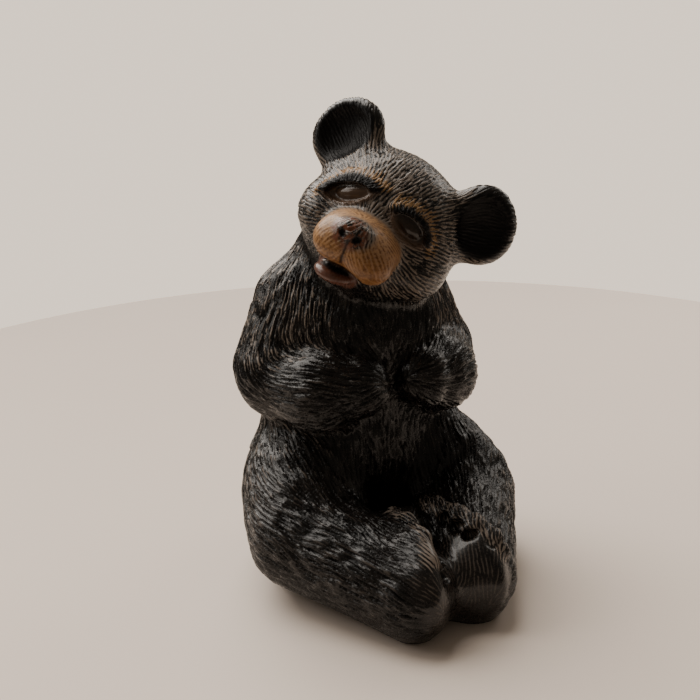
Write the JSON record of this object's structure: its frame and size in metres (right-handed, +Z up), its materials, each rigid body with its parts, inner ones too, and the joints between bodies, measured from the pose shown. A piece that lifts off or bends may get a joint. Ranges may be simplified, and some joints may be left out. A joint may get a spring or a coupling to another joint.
{
  "type": "bear cub figurine",
  "caption": "Glazed ceramic figurine of a seated bear cub, paws folded on its chest and head tilted, with carved fur, flat underside.",
  "frame": {"origin": "middle of the bounding box's underside, on the flat base", "axes": "+Z up, the cub's trunk and feet face -Y, and its left side is +X"},
  "size_m": [0.125, 0.1412, 0.2],
  "materials": {
    "black_glaze": "glossy black glaze over carved fur, dry-brushed grey on the head, with a bare tan muzzle and brown eyes"
  },
  "bodies": {
    "root": {"bear_cub": "black_glaze"}
  },
  "joints": []
}
